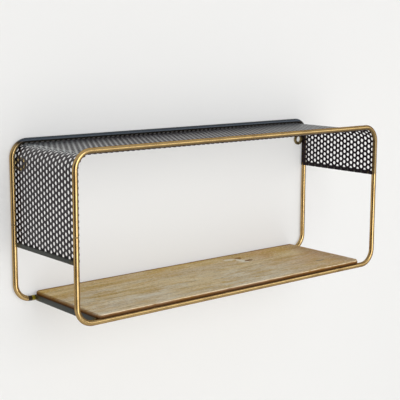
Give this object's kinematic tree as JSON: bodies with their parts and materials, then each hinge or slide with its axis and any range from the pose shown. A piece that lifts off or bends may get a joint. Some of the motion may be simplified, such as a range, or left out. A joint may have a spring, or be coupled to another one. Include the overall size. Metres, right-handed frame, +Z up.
{
  "type": "wall shelf",
  "caption": "Wall shelf with rounded rectangular rod frames at front and rear, a folded perforated metal sheet over the top and down the ends, and a thin wooden plank on the bottom rods.",
  "frame": {"origin": "middle of the shelf on the plane that the bottom rods stand on", "axes": "+X along the shelf to the right seen from the front, +Y towards the wall, +Z up"},
  "size_m": [0.61, 0.174, 0.244],
  "materials": {
    "brass_rod": "antique, satin",
    "brass_ring": "dark antique, satin",
    "black_sheet": "satin black",
    "dark_bar": "satin dark grey",
    "plank_wood": "rough-sawn, weathered",
    "screw_steel": "zinc plated"
  },
  "bodies": {
    "root": {"front_frame": "brass_rod", "rear_frame": "brass_rod", "perforated_sheet": "black_sheet", "left_side_bar": "dark_bar", "right_side_bar": "dark_bar", "left_base_bar": "dark_bar", "centre_base_bar": "dark_bar", "right_base_bar": "dark_bar", "plank": "plank_wood", "left_hang_ring": "brass_ring", "right_hang_ring": "brass_ring", "plank_screws": "screw_steel"}
  },
  "joints": []
}
